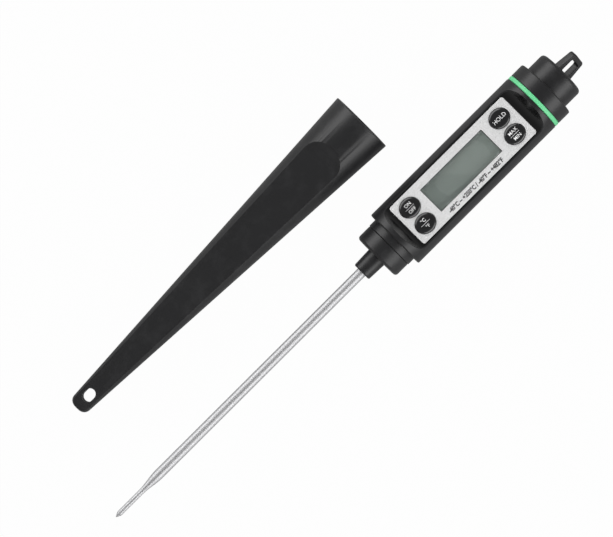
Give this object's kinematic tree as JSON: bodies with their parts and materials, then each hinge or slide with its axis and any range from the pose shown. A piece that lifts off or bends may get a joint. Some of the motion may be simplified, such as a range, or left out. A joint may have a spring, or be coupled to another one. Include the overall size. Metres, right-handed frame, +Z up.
{
  "type": "meat thermometer",
  "caption": "Pocket digital meat thermometer: tapered steel probe, round black handle with recessed display, keys, screwed battery cap with hang loop, and a tapered sheath lying beside it.",
  "frame": {"origin": "middle of the handle shell's lowest facet, on the surface it lies on", "axes": "+X along the handle from the probe's point to the hang loop, +Y towards the sheath that lies beside it, +Z up out of the display"},
  "size_m": [0.24, 0.0641, 0.025],
  "materials": {
    "black_plastic": "satin moulded black plastic",
    "key_black": "glossy domed black plastic",
    "probe_steel": "polished stainless steel",
    "label_plate": "fine grained silver grey plate",
    "clear_lens": "clear window",
    "display_grey": "grey green reflective display glass",
    "seal_green": "soft green silicone",
    "dark_rubber": "matt black rubber",
    "board_green": "green lacquered circuit board",
    "epoxy": "black epoxy",
    "white_plastic": "natural white moulded plastic",
    "nickel": "nickel plated",
    "wire_red": "red wire insulation",
    "wire_black": "black wire insulation"
  },
  "bodies": {
    "handle": {"handle_body": "black_plastic", "nose_cap": "black_plastic", "probe_boot": "black_plastic", "probe_tube": "probe_steel", "button_cell": "probe_steel", "face_label": "label_plate", "display_window": "clear_lens", "display_glass": "display_grey", "nose_oring": "dark_rubber", "connector_strip_a": "dark_rubber", "connector_strip_b": "dark_rubber", "power_dome": "dark_rubber", "unit_dome": "dark_rubber", "hold_dome": "dark_rubber", "range_dome": "dark_rubber", "circuit_board": "board_green", "thermistor_bead": "epoxy", "potting_plug": "epoxy", "controller_chip": "epoxy", "module_chassis": "white_plastic", "display_holder": "white_plastic", "battery_carrier": "white_plastic", "board_screw_front": "nickel", "board_screw_rear": "nickel", "timing_crystal": "nickel", "contact_negative": "nickel", "contact_positive": "nickel", "lead_wire_a": "wire_red", "lead_wire_b": "wire_black"},
    "sheath": {"sheath": "black_plastic"},
    "cap_seal": {"seal_ring": "seal_green"},
    "battery_cap": {"battery_cap": "black_plastic", "cap_spring": "probe_steel"},
    "power_key": {"power_key": "key_black"},
    "unit_key": {"unit_key": "key_black"},
    "hold_key": {"hold_key": "key_black"},
    "range_key": {"range_key": "key_black"}
  },
  "joints": [
    {"name": "power_press", "type": "slide", "parent": "handle", "child": "power_key", "axis": [0, 0, -1], "range_m": [0, 0.0004], "stiffness_N_per_m": 1500, "springref_m": -0.0003, "deforming": ["power_dome"]},
    {"name": "unit_press", "type": "slide", "parent": "handle", "child": "unit_key", "axis": [0, 0, -1], "range_m": [0, 0.0004], "stiffness_N_per_m": 1500, "springref_m": -0.0003, "deforming": ["unit_dome"]},
    {"name": "hold_press", "type": "slide", "parent": "handle", "child": "hold_key", "axis": [0, 0, -1], "range_m": [0, 0.0004], "stiffness_N_per_m": 1500, "springref_m": -0.0003, "deforming": ["hold_dome"]},
    {"name": "range_press", "type": "slide", "parent": "handle", "child": "range_key", "axis": [0, 0, -1], "range_m": [0, 0.0004], "stiffness_N_per_m": 1500, "springref_m": -0.0003, "deforming": ["range_dome"]},
    {"name": "cap_draw", "type": "slide", "parent": "handle", "child": "cap_seal", "axis": [1, 0, 0], "range_m": [0, 0.006]},
    {"name": "cap_turn", "type": "hinge", "parent": "cap_seal", "child": "battery_cap", "pos_m": [0.043, 0, 0.01244], "axis": [1, 0, 0], "range_deg": [0, 865]},
    {"name": "sheath_carry", "type": "slide", "parent": "handle", "child": "sheath", "axis": [-0.9892, -0.1469, 0], "range_m": [0, 0.2669]}
  ],
  "couplings": [
    {"joint": "cap_turn", "follows": "cap_draw", "rad_per_m": 2513.3}
  ]
}
